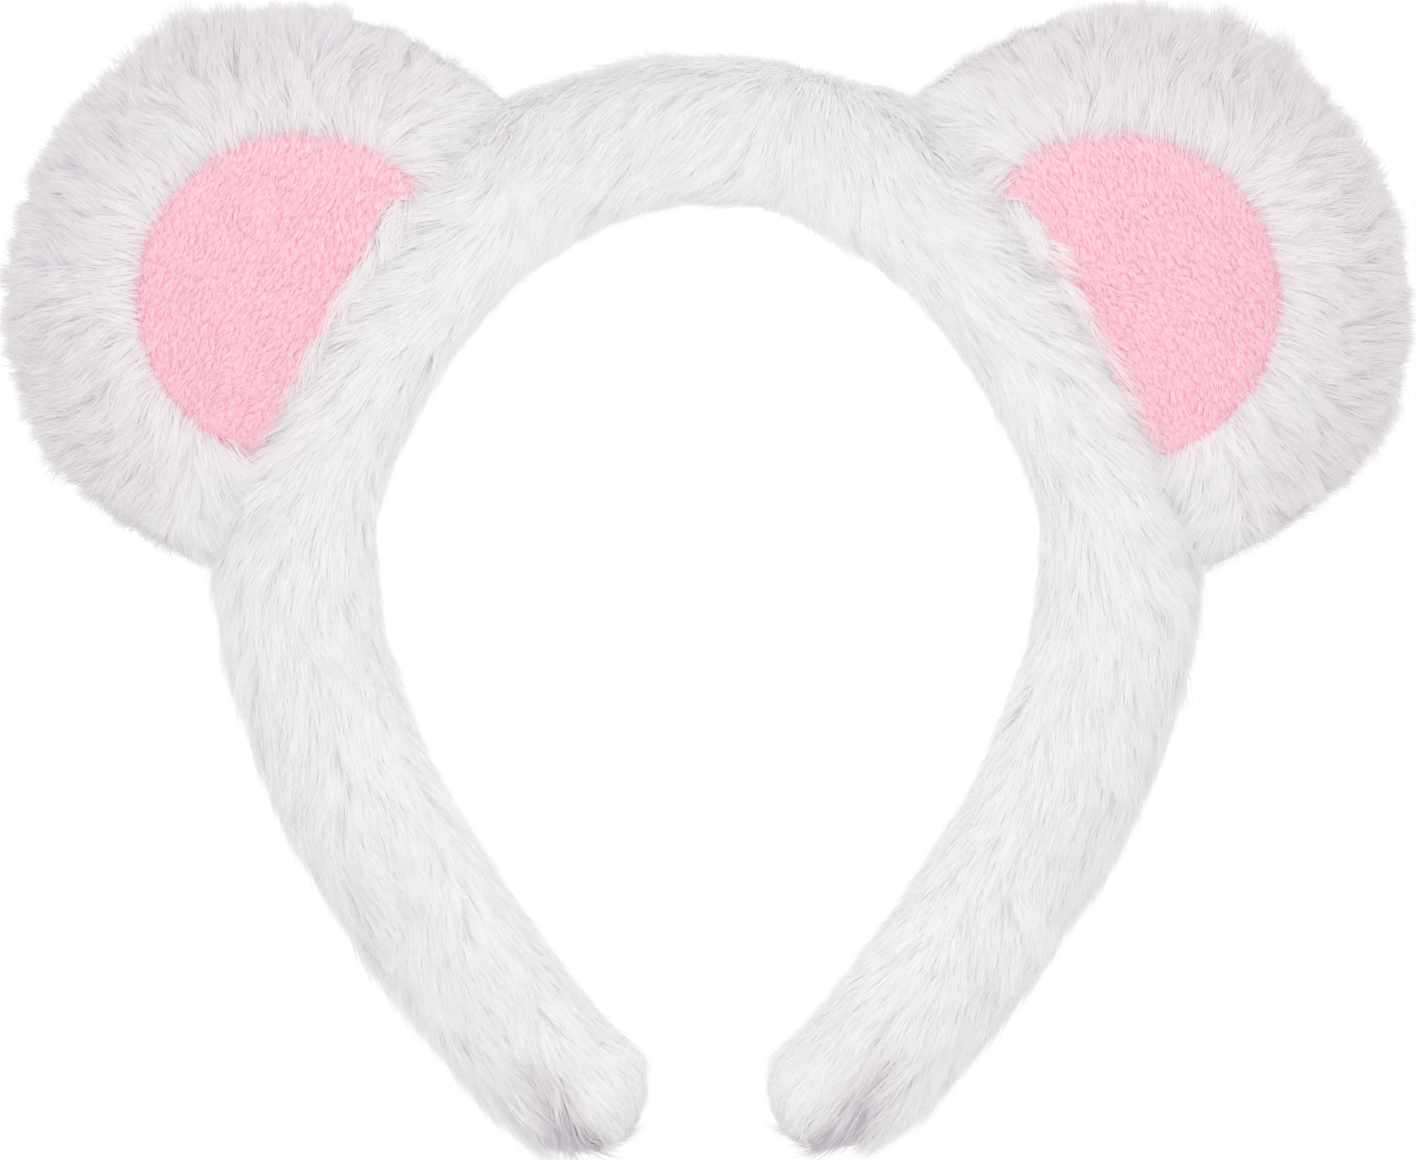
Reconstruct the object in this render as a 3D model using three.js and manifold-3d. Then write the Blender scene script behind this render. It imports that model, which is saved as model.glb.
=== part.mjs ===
// Animal ears headband: a padded fur-covered arch with two round ears.
// Millimetres, +Z up, the wearer's face looks along -Y. The origin is where the crown of the arch
// rests on the head. "left" is the -X side, as seen from in front; the right side mirrors it.

import * as THREE from 'three';
import { mergeVertices } from 'three/addons/utils/BufferGeometryUtils.js';
import Module from 'manifold-3d';

const wasm = await Module();
wasm.setup();

// ---- driving dimensions ----

const GAP = 0.3; // between pieces that touch
const DEGREE = Math.PI / 180;

// The arch's centreline from the crown to one tip, as tangent arcs: length and turn in degrees.
const CROWN_HEIGHT = 12.5;
const ARCH_ARCS = [
  { length: 46, turn: 46 },
  { length: 39, turn: 18 },
  { length: 40, turn: 41.5 },
  { length: 33, turn: 15.5 },
  { length: 65.4, turn: 14.7 },
];
const ARCH_LENGTH = ARCH_ARCS.reduce((sum, arc) => sum + arc.length, 0);
const STATION_STEP = 11; // spacing of the arch's cross-sections

// Half the band's thickness away from the head, at distances from the crown.
const BAND_PROFILE = [
  { at: 0, half: 12.5 },
  { at: 30, half: 13.2 },
  { at: 60, half: 12.4 },
  { at: 110, half: 13.8 },
  { at: 160, half: 13.5 },
  { at: ARCH_LENGTH, half: 12 },
];
const BAND_HALF_DEPTH = 13.2;
const TIP_DEPTH_LOSS = 2.4; // the band gets this much shallower, front to back, at its tips
const TIP_CUTBACK = 0.45; // how much sooner the tip ends for each mm away from the head
const TIP_CUTBACK_LENGTH = 24;
const FUR_THICKNESS = 4.8;
const SQUARENESS = 2.3; // exponent of the band's rounded section, 2 being an ellipse

const CORE_HALF_THICKNESS = 0.8;
const CORE_HALF_DEPTH = 6;
const CORE_LENGTH = ARCH_LENGTH - 13.5;
const PADDING_LENGTH = ARCH_LENGTH - 6;

const THREAD_RADIUS = 0.5;
const THREAD_SIDES = 6;
const SEAM_GROOVE_HALF_WIDTH = 2.2;
const SEAM_GROOVE_DEPTH = 4;
const SEAM_STITCH = 8;
const SEAM_END_AT = ARCH_LENGTH - 16.5;
const TIP_RING_RADIUS = 3.2;
const TIP_DIMPLE_RADIUS = 5;
const TIP_DIMPLE_DEPTH = 3.6;

// The arms flex about an axis front to back, inside the band, on each side of the crown.
const FLEX_AT = 16;
const FLEX_RADIUS = 13.4;

const EAR_CENTRE = new THREE.Vector3(-67.7, 0, -16);
const EAR_RADIUS = 50;
const EAR_HALF_THICKNESS = 14.5;
const EAR_FUR_THICKNESS = 4.2;
const EAR_RIM_BEVEL = 1.5;
const RIM_THREAD_INSET = 2.6;
const EAR_SEGMENTS = 28;
const EAR_RING_SEGMENTS = 44;
const INNER_PANEL_RADIUS = 28;
const INNER_PANEL_THICKNESS = 2.6;

// The ear is drawn in at the two ends of its base: past a distance from its middle, along the base.
const EAR_BASE_LINE = new THREE.Vector3(0.5027, 0, 0.8645);
const DRAWN_IN_FROM = 46;
const DRAWN_IN_SHARE = 0.5;

// The ear's base follows the band's top with a rounded clearance, so that it can flop.
const EAR_BASE_CLEARANCE = 1.3;
const EAR_BASE_HALF_DEPTH = 18.5;
const EAR_BASE_SQUARENESS = 3.4;
const BASE_THREAD_OFFSET = 8;
const BASE_THREAD_FROM = 44;
const BASE_THREAD_TO = 104;
const BASE_THREAD_STEPS = 28;

const materials = {
  core: { color: 0xe9e9e6, roughness: 0.45, metalness: 0 },
  wadding: { color: 0xf6f5f2, roughness: 1, metalness: 0 },
  fur: { color: 0xefeff1, roughness: 1, metalness: 0 },
  plush: { color: 0xfdc0d3, roughness: 1, metalness: 0 },
  thread: { color: 0xf2f0ee, roughness: 0.8, metalness: 0 },
};

// ---- solids ----

function toSolid(geometry) {
  const bare = geometry.clone();
  bare.deleteAttribute('normal');
  bare.deleteAttribute('uv');
  const merged = mergeVertices(bare, 1e-4);
  return new wasm.Manifold(
    new wasm.Mesh({
      numProp: 3,
      vertProperties: Float32Array.from(merged.attributes.position.array),
      triVerts: Uint32Array.from(merged.index.array),
    })
  );
}

function toGeometry(solid) {
  const mesh = solid.getMesh();
  const geometry = new THREE.BufferGeometry();
  geometry.setAttribute('position', new THREE.BufferAttribute(mesh.vertProperties, 3));
  geometry.setIndex(new THREE.BufferAttribute(mesh.triVerts, 1));
  geometry.computeVertexNormals();
  return geometry;
}

// The same shape on the other side of the object, its faces turned so that they still look out.
function mirrored(geometry) {
  const other = geometry.clone();
  other.scale(-1, 1, 1);
  const index = other.index.array;
  for (let i = 0; i < index.length; i += 3) {
    const second = index[i + 1];
    index[i + 1] = index[i + 2];
    index[i + 2] = second;
  }
  other.computeVertexNormals();
  return other;
}

function add(group, name, solid, material) {
  const mesh = new THREE.Mesh(toGeometry(solid), new THREE.MeshStandardMaterial(materials[material]));
  mesh.name = name;
  group.add(mesh);
}

function addBothSides(group, name, solid, material) {
  const left = toGeometry(solid);
  const sides = { left, right: mirrored(left) };
  for (const [side, geometry] of Object.entries(sides)) {
    const mesh = new THREE.Mesh(geometry, new THREE.MeshStandardMaterial(materials[material]));
    mesh.name = `${name}_${side}`;
    group.add(mesh);
  }
}

// ---- the arch ----

// Where the centreline is at a distance from the crown, and which way is along it and away from the
// head. A negative distance is on the right-hand side.
function archFrame(distance) {
  let x = 0;
  let z = CROWN_HEIGHT;
  let heading = 0;
  let left = Math.abs(distance);
  for (const arc of ARCH_ARCS) {
    const length = arc === ARCH_ARCS.at(-1) ? left : Math.min(left, arc.length);
    const radius = arc.length / (arc.turn * DEGREE);
    const turned = heading + length / radius;
    x -= radius * (Math.sin(turned) - Math.sin(heading));
    z -= radius * (Math.cos(heading) - Math.cos(turned));
    heading = turned;
    left -= length;
    if (left <= 0) break;
  }
  const side = distance < 0 ? -1 : 1;
  return {
    point: new THREE.Vector3(x * side, 0, z),
    along: new THREE.Vector3(-Math.cos(heading), 0, -Math.sin(heading) * side),
    outward: new THREE.Vector3(-Math.sin(heading) * side, 0, Math.cos(heading)),
  };
}

function onArch(distance, depth, height) {
  const { point, along, outward } = archFrame(distance);
  const nearTip = THREE.MathUtils.smoothstep(distance, ARCH_LENGTH - TIP_CUTBACK_LENGTH, ARCH_LENGTH);
  const sooner = TIP_CUTBACK * nearTip * Math.max(0, height);
  return point.addScaledVector(outward, height).addScaledVector(along, -sooner).setY(depth);
}

function bandHalfThickness(distance) {
  const d = Math.abs(distance);
  const next = Math.max(1, BAND_PROFILE.findIndex((stop) => stop.at >= d));
  const after = BAND_PROFILE[next];
  const before = BAND_PROFILE[next - 1];
  return THREE.MathUtils.mapLinear(d, before.at, after.at, before.half, after.half);
}

function bandHalfDepth(distance) {
  return BAND_HALF_DEPTH - TIP_DEPTH_LOSS * (Math.abs(distance) / ARCH_LENGTH) ** 3;
}

// A quarter round at the end of a piece: 1 before it starts, falling towards its end.
function endRound(distance, end, length) {
  const into = Math.max(0, Math.abs(distance) - (end - length)) / length;
  return Math.sqrt(Math.max(0, 1 - into * into));
}

// Cross-section distances from one end to the other, with closer ones on a round end.
function stations(from, to, roundLength = 0) {
  const list = [from];
  const plainEnd = to - roundLength;
  for (let d = Math.ceil(from / STATION_STEP) * STATION_STEP; d < plainEnd - 1; d += STATION_STEP) {
    if (d > from + 1) list.push(d);
  }
  const angles = roundLength ? [0, 25, 48, 66, 80] : [90];
  for (const angle of angles) {
    list.push(plainEnd + roundLength * Math.sin(angle * DEGREE));
  }
  return list;
}

// A straight cylinder bent along the arch. section(distance, angle) gives depth and height.
function alongArch(distances, sides, section) {
  const rows = distances.length - 1;
  const geometry = new THREE.CylinderGeometry(1, 1, 1, sides, rows);
  const position = geometry.attributes.position;
  for (let i = 0; i < position.count; i++) {
    const distance = distances[Math.round((position.getY(i) + 0.5) * rows)];
    const across = position.getX(i);
    const up = position.getZ(i);
    const { depth, height } = section(distance, across, up);
    const place = onArch(distance, depth, height);
    position.setXYZ(i, place.x, place.y, place.z);
  }
  return toSolid(geometry);
}

function squared(value, squareness) {
  return Math.sign(value) * Math.abs(value) ** (2 / squareness);
}

// A rounded band section, inset all round from the band's outer face.
function bandSolid({ from, to, inset, round, sides }) {
  return alongArch(stations(from, to, round), sides, (distance, across, up) => {
    const end = round ? Math.max(0.15, endRound(distance, to, round)) : 1;
    return {
      depth: squared(across, SQUARENESS) * (bandHalfDepth(distance) - inset) * end,
      height: squared(up, SQUARENESS) * (bandHalfThickness(distance) - inset) * end,
    };
  });
}

// A flat strip on the centreline, its corners square.
function stripSolid({ from, to, halfDepth, halfThickness, height = () => 0 }) {
  const flat = new THREE.BoxGeometry(2, 1, 2, 1, stations(from, to).length - 1, 1);
  const distances = stations(from, to);
  const rows = distances.length - 1;
  const position = flat.attributes.position;
  for (let i = 0; i < position.count; i++) {
    const distance = distances[Math.round((position.getY(i) + 0.5) * rows)];
    const lift = height(distance) + position.getZ(i) * halfThickness;
    const place = onArch(distance, position.getX(i) * halfDepth, lift);
    position.setXYZ(i, place.x, place.y, place.z);
  }
  return toSolid(flat);
}

function threadSolid(points, radius, steps) {
  const shape = new THREE.Shape();
  shape.absarc(0, 0, radius, 0, 2 * Math.PI);
  const path = new THREE.CatmullRomCurve3(points);
  return toSolid(
    new THREE.ExtrudeGeometry(shape, {
      extrudePath: path,
      steps,
      curveSegments: THREAD_SIDES / 2,
      bevelEnabled: false,
    })
  );
}

// ---- where the arms flex ----

function flexCylinder(distance, radius) {
  const { point } = archFrame(distance);
  const cylinder = new THREE.CylinderGeometry(radius, radius, 60, 28);
  return toSolid(cylinder.translate(point.x, 0, point.z));
}

// What belongs to the crown: all between the two flex axes, and a round knuckle past each.
function crownZone() {
  const reach = 30;
  const corners = [-1, 1].map((side) => {
    const { point, outward } = archFrame(side * FLEX_AT);
    return [point.clone().addScaledVector(outward, reach), point.clone().addScaledVector(outward, -reach)];
  });
  const [[rightTop, rightLow], [leftTop, leftLow]] = corners;
  const keystone = new THREE.Shape(
    [rightTop, leftTop, leftLow, rightLow].map((corner) => new THREE.Vector2(corner.x, corner.z))
  );
  const slab = new THREE.ExtrudeGeometry(keystone, { depth: 60, bevelEnabled: false });
  slab.translate(0, 0, -30).rotateX(Math.PI / 2);
  const knuckles = [-FLEX_AT, FLEX_AT].map((at) => flexCylinder(at, FLEX_RADIUS - GAP));
  return toSolid(slab).add(knuckles[0]).add(knuckles[1]);
}

const crown = crownZone();
const armSocket = flexCylinder(FLEX_AT, FLEX_RADIUS);
const CROWN_REACH = FLEX_AT + FLEX_RADIUS + 2;

function crownPart(solid) {
  return solid.intersect(crown);
}

function armPart(solid) {
  return solid.subtract(armSocket);
}

// ---- pieces of the band ----

function coreStrip(from, to) {
  return stripSolid({ from, to, halfDepth: CORE_HALF_DEPTH, halfThickness: CORE_HALF_THICKNESS });
}

function coreSlot(from, to) {
  return stripSolid({
    from,
    to,
    halfDepth: CORE_HALF_DEPTH + GAP,
    halfThickness: CORE_HALF_THICKNESS + GAP,
  });
}

function padding(from, to, round) {
  return bandSolid({ from, to, inset: FUR_THICKNESS + GAP, round, sides: 10 });
}

function paddingRoom(from, to, round) {
  return bandSolid({ from, to, inset: FUR_THICKNESS, round, sides: 10 });
}

function furTube(from, to, round) {
  return bandSolid({ from, to, inset: 0, round, sides: 16 });
}

function innerFace(distance) {
  return -bandHalfThickness(distance);
}

function seamGroove(from, to) {
  return stripSolid({
    from,
    to,
    halfDepth: SEAM_GROOVE_HALF_WIDTH,
    halfThickness: SEAM_GROOVE_DEPTH,
    height: innerFace,
  });
}

// Ladder stitches along the face towards the head, crossing from side to side.
function seamThread(from, to) {
  const points = [];
  const reach = SEAM_GROOVE_HALF_WIDTH - THREAD_RADIUS - GAP;
  const count = Math.round((to - from) / SEAM_STITCH);
  for (let i = 0; i <= count; i++) {
    const distance = THREE.MathUtils.lerp(from, to, i / count);
    const side = i % 2 ? reach : -reach;
    points.push(onArch(distance, side, innerFace(distance) + SEAM_GROOVE_DEPTH - THREAD_RADIUS - GAP));
  }
  return threadSolid(points, THREAD_RADIUS, count * 2);
}

function tipDimple() {
  const { point, along } = archFrame(ARCH_LENGTH);
  const dimple = new THREE.CylinderGeometry(TIP_DIMPLE_RADIUS, TIP_DIMPLE_RADIUS, 2 * TIP_DIMPLE_DEPTH, 16);
  dimple.applyQuaternion(new THREE.Quaternion().setFromUnitVectors(THREE.Object3D.DEFAULT_UP, along));
  return toSolid(dimple.translate(point.x, point.y, point.z));
}

// The drawn-up gathering thread, a ring in the dimple at the tip.
function tipThread() {
  const { point, along } = archFrame(ARCH_LENGTH - TIP_DIMPLE_DEPTH + THREAD_RADIUS + GAP);
  const ring = new THREE.TorusGeometry(TIP_RING_RADIUS, THREAD_RADIUS, THREAD_SIDES, 16);
  const facing = new THREE.Quaternion().setFromUnitVectors(new THREE.Vector3(0, 0, 1), along);
  return toSolid(ring.applyQuaternion(facing).translate(point.x, point.y, point.z));
}

const TIP_ROUND = 9;
const PADDING_ROUND = 6;
const SEAM_FROM = FLEX_AT + 12;

function addBand(group) {
  const reach = CROWN_REACH;
  const crownCover = furTube(-reach, reach)
    .subtract(paddingRoom(-reach, reach))
    .subtract(seamGroove(-reach, reach));
  const crownPadding = padding(-reach, reach).subtract(coreSlot(-reach, reach));
  add(group, 'core_crown', crownPart(coreStrip(-reach, reach)), 'core');
  add(group, 'padding_crown', crownPart(crownPadding), 'wadding');
  add(group, 'fur_cover_crown', crownPart(crownCover), 'fur');
  add(group, 'seam_thread_crown', seamThread(2 - FLEX_AT, FLEX_AT - 2), 'thread');

  const armPadding = padding(FLEX_AT, PADDING_LENGTH, PADDING_ROUND)
    .subtract(coreSlot(FLEX_AT - 1, CORE_LENGTH + GAP));
  const armCover = furTube(FLEX_AT, ARCH_LENGTH, TIP_ROUND)
    .subtract(paddingRoom(FLEX_AT - 1, PADDING_LENGTH + GAP, PADDING_ROUND))
    .subtract(seamGroove(FLEX_AT - 1, SEAM_END_AT + 2))
    .subtract(tipDimple());
  addBothSides(group, 'core', armPart(coreStrip(FLEX_AT, CORE_LENGTH)), 'core');
  addBothSides(group, 'padding', armPart(armPadding), 'wadding');
  addBothSides(group, 'fur_cover', armPart(armCover), 'fur');
  addBothSides(group, 'seam_thread', seamThread(SEAM_FROM, SEAM_END_AT), 'thread');
  addBothSides(group, 'tip_thread', tipThread(), 'thread');
}

// ---- pieces of an ear ----

// Half the ear's thickness at a radius, for a pillow of a given size.
function pillow(radius, size, halfThickness) {
  return halfThickness * (1 - (radius / size) ** 2.4) ** 0.62;
}

function furFace(radius) {
  return Math.max(EAR_RIM_BEVEL, pillow(radius, EAR_RADIUS + 0.4, EAR_HALF_THICKNESS));
}

const FILLING_RADIUS = EAR_RADIUS - EAR_FUR_THICKNESS;

function fillingFace(radius) {
  return pillow(radius, FILLING_RADIUS + 0.2, EAR_HALF_THICKNESS - EAR_FUR_THICKNESS);
}

const FILLING_RADII = [0, 14, 28, 35, 41, FILLING_RADIUS];

function drawnIn(geometry) {
  const position = geometry.attributes.position;
  const place = new THREE.Vector3();
  for (let i = 0; i < position.count; i++) {
    place.fromBufferAttribute(position, i);
    const along = place.clone().sub(EAR_CENTRE).dot(EAR_BASE_LINE);
    const past = Math.max(0, Math.abs(along) - DRAWN_IN_FROM);
    place.addScaledVector(EAR_BASE_LINE, -Math.sign(along) * past * DRAWN_IN_SHARE);
    position.setXYZ(i, place.x, place.y, place.z);
  }
  return geometry;
}

// Front is -1, back is 1: the lathe turns about the Y axis, front to back.
function latheSolid(profile, side) {
  const points = profile.map(([radius, depth]) => new THREE.Vector2(radius, depth * side));
  if (side < 0) points.reverse();
  const lathe = new THREE.LatheGeometry(points, EAR_SEGMENTS);
  return toSolid(drawnIn(lathe.translate(EAR_CENTRE.x, EAR_CENTRE.y, EAR_CENTRE.z)));
}

function earFilling() {
  const back = FILLING_RADII.map((radius) => [radius, fillingFace(radius)]);
  const front = back.map(([radius, depth]) => [radius, -depth]);
  return latheSolid([...front, ...back.reverse().slice(1)], 1);
}

// A fur panel from an inner radius out to the rim, over the filling.
function furPanel(innerRadius, side) {
  const radii = [28, 35, 41, 46, EAR_RADIUS].filter((radius) => radius > innerRadius);
  const outer = [innerRadius, ...(innerRadius ? [] : [14]), ...radii];
  const under = FILLING_RADII.filter((radius) => radius > innerRadius);
  const profile = [
    ...[innerRadius, ...under].map((radius) => [radius, Math.max(GAP / 2, fillingFace(radius) + GAP)]),
    [FILLING_RADIUS + GAP, GAP / 2],
    [EAR_RADIUS - EAR_RIM_BEVEL, GAP / 2],
    ...outer.reverse().map((radius) => [radius, furFace(radius)]),
  ];
  if (innerRadius) profile.push(profile[0]);
  return latheSolid(profile, side);
}

function innerPanel() {
  const radii = [0, 14, INNER_PANEL_RADIUS];
  const under = radii.map((radius) => [radius, fillingFace(radius) + GAP]);
  const over = radii.map((radius) => [radius, fillingFace(radius) + GAP + INNER_PANEL_THICKNESS]);
  return latheSolid([...under, ...over.reverse()], -1);
}

function earRing(radius, depth, threadRadius) {
  const ring = new THREE.TorusGeometry(radius, threadRadius, THREAD_SIDES, EAR_RING_SEGMENTS);
  return toSolid(drawnIn(ring.rotateX(Math.PI / 2).translate(EAR_CENTRE.x, depth, EAR_CENTRE.z)));
}

// In the narrow ring between the inner panel and the fur, down on the filling.
const PANEL_THREAD_RADIUS = INNER_PANEL_RADIUS + GAP + THREAD_RADIUS;
const FUR_RING_RADIUS = PANEL_THREAD_RADIUS + THREAD_RADIUS + GAP;

function panelThread() {
  const depth = fillingFace(PANEL_THREAD_RADIUS) + GAP + THREAD_RADIUS;
  return earRing(PANEL_THREAD_RADIUS, -depth, THREAD_RADIUS);
}

function rimThread(threadRadius) {
  return earRing(EAR_RADIUS - RIM_THREAD_INSET, 0, threadRadius);
}

// What the ear leaves free: the band's top with room to flop over it, and all that is head side of it.
function baseCutter() {
  const headSide = 50;
  const width = 20;
  return alongArch(stations(0, 170), 16, (distance, across, up) => {
    if (up < 0) {
      return { depth: squared(across, 4) * width, height: squared(up, 4) * headSide };
    }
    const top = bandHalfThickness(distance) + EAR_BASE_CLEARANCE;
    const room = THREE.MathUtils.lerp(width, EAR_BASE_HALF_DEPTH, Math.min(1, up * 4));
    return {
      depth: squared(across, EAR_BASE_SQUARENESS) * room,
      height: squared(up, EAR_BASE_SQUARENESS) * top,
    };
  });
}

// How far over the centreline the ear's underside is.
function baseHeight(distance, depth) {
  const flat = (1 - (Math.abs(depth) / EAR_BASE_HALF_DEPTH) ** EAR_BASE_SQUARENESS) ** (1 / EAR_BASE_SQUARENESS);
  return (bandHalfThickness(distance) + EAR_BASE_CLEARANCE) * flat;
}

// One loop of hand stitching round the base, its two ends side by side at the top.
function baseThread(radius) {
  const points = [];
  for (let step = 1; step < BASE_THREAD_STEPS; step++) {
    const turn = (step / BASE_THREAD_STEPS) * 2 * Math.PI;
    const middle = (BASE_THREAD_FROM + BASE_THREAD_TO) / 2;
    const distance = middle - ((BASE_THREAD_TO - BASE_THREAD_FROM) / 2) * Math.cos(turn);
    const depth = -BASE_THREAD_OFFSET * Math.sin(turn);
    points.push(onArch(distance, depth, baseHeight(distance, depth) + THREAD_RADIUS));
  }
  return threadSolid(points, radius, BASE_THREAD_STEPS);
}

function addEars(group) {
  const cutter = baseCutter();
  const threadRoom = baseThread(THREAD_RADIUS + GAP);
  const rimRoom = rimThread(THREAD_RADIUS + GAP);
  const onBand = (solid) => solid.subtract(cutter).subtract(threadRoom);
  const backFur = furPanel(0, 1).subtract(rimRoom);
  const frontFur = furPanel(FUR_RING_RADIUS, -1).subtract(rimRoom);
  addBothSides(group, 'ear_filling', onBand(earFilling()), 'wadding');
  addBothSides(group, 'ear_back_fur', onBand(backFur), 'fur');
  addBothSides(group, 'ear_front_fur', onBand(frontFur), 'fur');
  addBothSides(group, 'ear_inner_panel', onBand(innerPanel()), 'plush');
  addBothSides(group, 'ear_rim_thread', rimThread(THREAD_RADIUS).subtract(cutter), 'thread');
  addBothSides(group, 'ear_panel_thread', panelThread().subtract(cutter), 'thread');
  addBothSides(group, 'ear_base_thread', baseThread(THREAD_RADIUS), 'thread');
}

const headband = new THREE.Group();
addBand(headband);
addEars(headband);

export default headband;
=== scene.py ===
import math

import bpy
import numpy as np
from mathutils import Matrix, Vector
from mathutils.kdtree import KDTree


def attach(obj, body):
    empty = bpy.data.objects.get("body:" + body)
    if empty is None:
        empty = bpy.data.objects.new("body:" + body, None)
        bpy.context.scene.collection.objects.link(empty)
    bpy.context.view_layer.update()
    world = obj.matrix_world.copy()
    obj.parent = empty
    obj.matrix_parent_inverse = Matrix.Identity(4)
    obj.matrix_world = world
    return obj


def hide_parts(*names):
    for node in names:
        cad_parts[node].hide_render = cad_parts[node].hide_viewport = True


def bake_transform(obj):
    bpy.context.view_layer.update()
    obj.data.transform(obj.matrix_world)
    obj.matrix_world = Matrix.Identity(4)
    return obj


# The object is white fur on a padded band and ears. Every surface is worked out on the left side (-X)
# and mirrored to the right. A surface carries its strands: real ribbons, grown from seeded numbers.

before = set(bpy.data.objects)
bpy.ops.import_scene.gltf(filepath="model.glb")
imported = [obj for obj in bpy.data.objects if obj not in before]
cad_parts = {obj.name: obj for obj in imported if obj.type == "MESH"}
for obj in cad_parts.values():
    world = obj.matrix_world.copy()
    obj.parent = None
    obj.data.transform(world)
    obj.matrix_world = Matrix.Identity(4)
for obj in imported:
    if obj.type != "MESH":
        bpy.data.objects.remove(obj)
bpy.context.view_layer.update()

MM = 0.001
SIDES = ("left", "right")

# The arch's centreline from the crown to a tip, as in the CAD. Each arc is its length in mm and its turn
# in degrees.
CROWN_HEIGHT = 12.5 * MM
ARCH_ARCS = ((46, 46), (39, 18), (40, 41.5), (33, 15.5), (65.4, 14.7))
ARCH_LENGTH = sum(length for length, _ in ARCH_ARCS) * MM
BAND_PROFILE_AT = np.array([0, 30, 60, 110, 160, 223.4]) * MM
BAND_PROFILE_HALF = np.array([12.5, 13.2, 12.4, 13.8, 13.5, 12]) * MM
BAND_HALF_DEPTH = 13.2 * MM
TIP_DEPTH_LOSS = 2.4 * MM
BAND_SQUARENESS = 2.3
BAND_PILE = 3.2 * MM  # how deep the backing lies under the fur's face
TIP_PILE = 4.0 * MM
TIP_ROUND = 8 * MM
TIP_ROUND_POWER = 0.8  # below 1 makes the rounding blunter
TIP_LAST_RING = 0.02  # the last ring's share of the full section
TIP_CUTBACK = 0.5  # how much sooner the tip ends for each mm away from the head
TIP_CUTBACK_LENGTH = 24 * MM
TIP_TURNED_IN = 1.3 * MM  # how far the tip's cover leans towards the head
CREASE_FROM = np.array([-31, 0, -141.5]) * MM  # the fold on a tip's front, where its fur is gathered
CREASE_TO = np.array([-21.5, 0, -156]) * MM
CREASE_DEPTH = 2.3 * MM
CREASE_WIDTH = 2.3 * MM
# how far the painted shade along the fold reaches
CREASE_SHADE = 2.4 * MM
CREASE_BEGINS = 0.3  # the share of its strength that the fold begins with
CREASE_GROWS = (0.1, 0.7)  # the shares of its line between which it grows to its full strength
PARTING_AT = 15 * MM  # where the crown's fur parts, on the right of the middle
PARTING_REACH = 14 * MM
FLEX_FROM = 8 * MM  # two distances from the crown; the arch's points there are worked out, but nothing uses them
FLEX_TO = 30 * MM

EAR_CENTRE = np.array([-67.7, 0, -16]) * MM
EAR_RADIUS = 46.8 * MM  # of the backing, under the fur
EAR_HALF_THICKNESS = 11.2 * MM
EAR_FLATNESS = 2.4  # higher keeps the ear thick for more of its radius
EAR_RIM_POWER = 0.6  # lower makes the rim blunter
EAR_BASE_SINK = 1.8 * MM  # how deep the ear's base presses into the band's fur
PANEL_RADIUS = 27.0 * MM
PANEL_LIFT = 0.9 * MM
PANEL_THICKNESS = 1.8 * MM
PANEL_EDGE = 0.08  # the share of its radius over which it rounds off
PANEL_COVER = 2.8 * MM  # how far fur covers the panel's side by the band, at its widest
CORNER_COVER = 1.8 * MM  # how much more it covers at the panel's top corner
CHORD = np.array([0.50, 0, 0.866])  # the way the ear's base runs
DRAWN_IN_FROM = 41 * MM  # the ear is drawn in at both ends of its base, past this distance along it
DRAWN_IN_SHARE = 0.5

# Stretches of the arch, as distances from the crown: where each begins, is full, begins to end and ends.
SHOULDER = np.array([16, 24, 32, 42]) * MM
BESIDE_EAR = np.array([28, 44, 80, 112]) * MM
UPPER_ARM = np.array([92, 108, 128, 146]) * MM
UNDER_EAR = np.array([44, 48, 100, 104]) * MM
COVERED_SIDE = np.array([45, 50, 58, 94]) * MM
COVERED_CORNER = np.array([46, 50, 53, 60]) * MM

# Where something changes, as distances from the crown, from its first trace to its full strength.
CROWN_FADES = np.array([20, 62]) * MM
SMOOTH_INSIDE = np.array([40, 70]) * MM
RAGGED_OUTSIDE = np.array([104, 116]) * MM
NEAR_TIP = ARCH_LENGTH - np.array([22, 6]) * MM

# How far a normal has to face a way to count for it, from hardly to fully.
FACES_OUT = (0.1, 0.8)
FACES_IN = (0.2, 0.8)
FACES_SIDE = (0.2, 0.6)
FACES_FRONT_OR_OUT = (-0.2, 0.5)
FACES_EAR = (-0.5, 0.1)
FACES_BASE = (0.85, 0.95)

BAND_STRANDS = 7.5  # a square millimetre
BAND_LOCKS = 3.2 * MM  # from one lock of fur to the next
BAND_HAIR = 9.4 * MM  # a strand's length
BAND_HAIR_LESS_INSIDE = 1.4 * MM
BAND_HAIR_LESS_AT_TIP = 2.0 * MM
BAND_LEAN = 0.9  # the share of a strand's length that lies down
BAND_RISE = 0.58  # the share that stands up, and how that changes from place to place
RISE_MORE_INSIDE = 0.06
RISE_MORE_AT_TIP = 0.12
RISE_MORE_BESIDE_EAR = 0.2
RISE_MORE_ON_SHOULDER = 0.2
RISE_MORE_INSIDE_ARM = 0.16
RISE_LESS_OUTSIDE_ARM = 0.12
BAND_UNEVEN = 0.16
UNEVEN_LESS_INSIDE = 0.08
UNEVEN_MORE_OUTSIDE = 0.1
BAND_HUG = 0.9
BAND_PULL = 0.3
BAND_SWIRL = 0.36
TIP_PAINTED_SHADE = 0.16  # how much painted shade the outside of a tip has, as a share of the fur's painted shade tone
SWEEP_LEAST = 0.15  # how strongly the crown's fur is combed round the band, and how much more in front
SWEEP_MORE_IN_FRONT = 0.65
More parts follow.
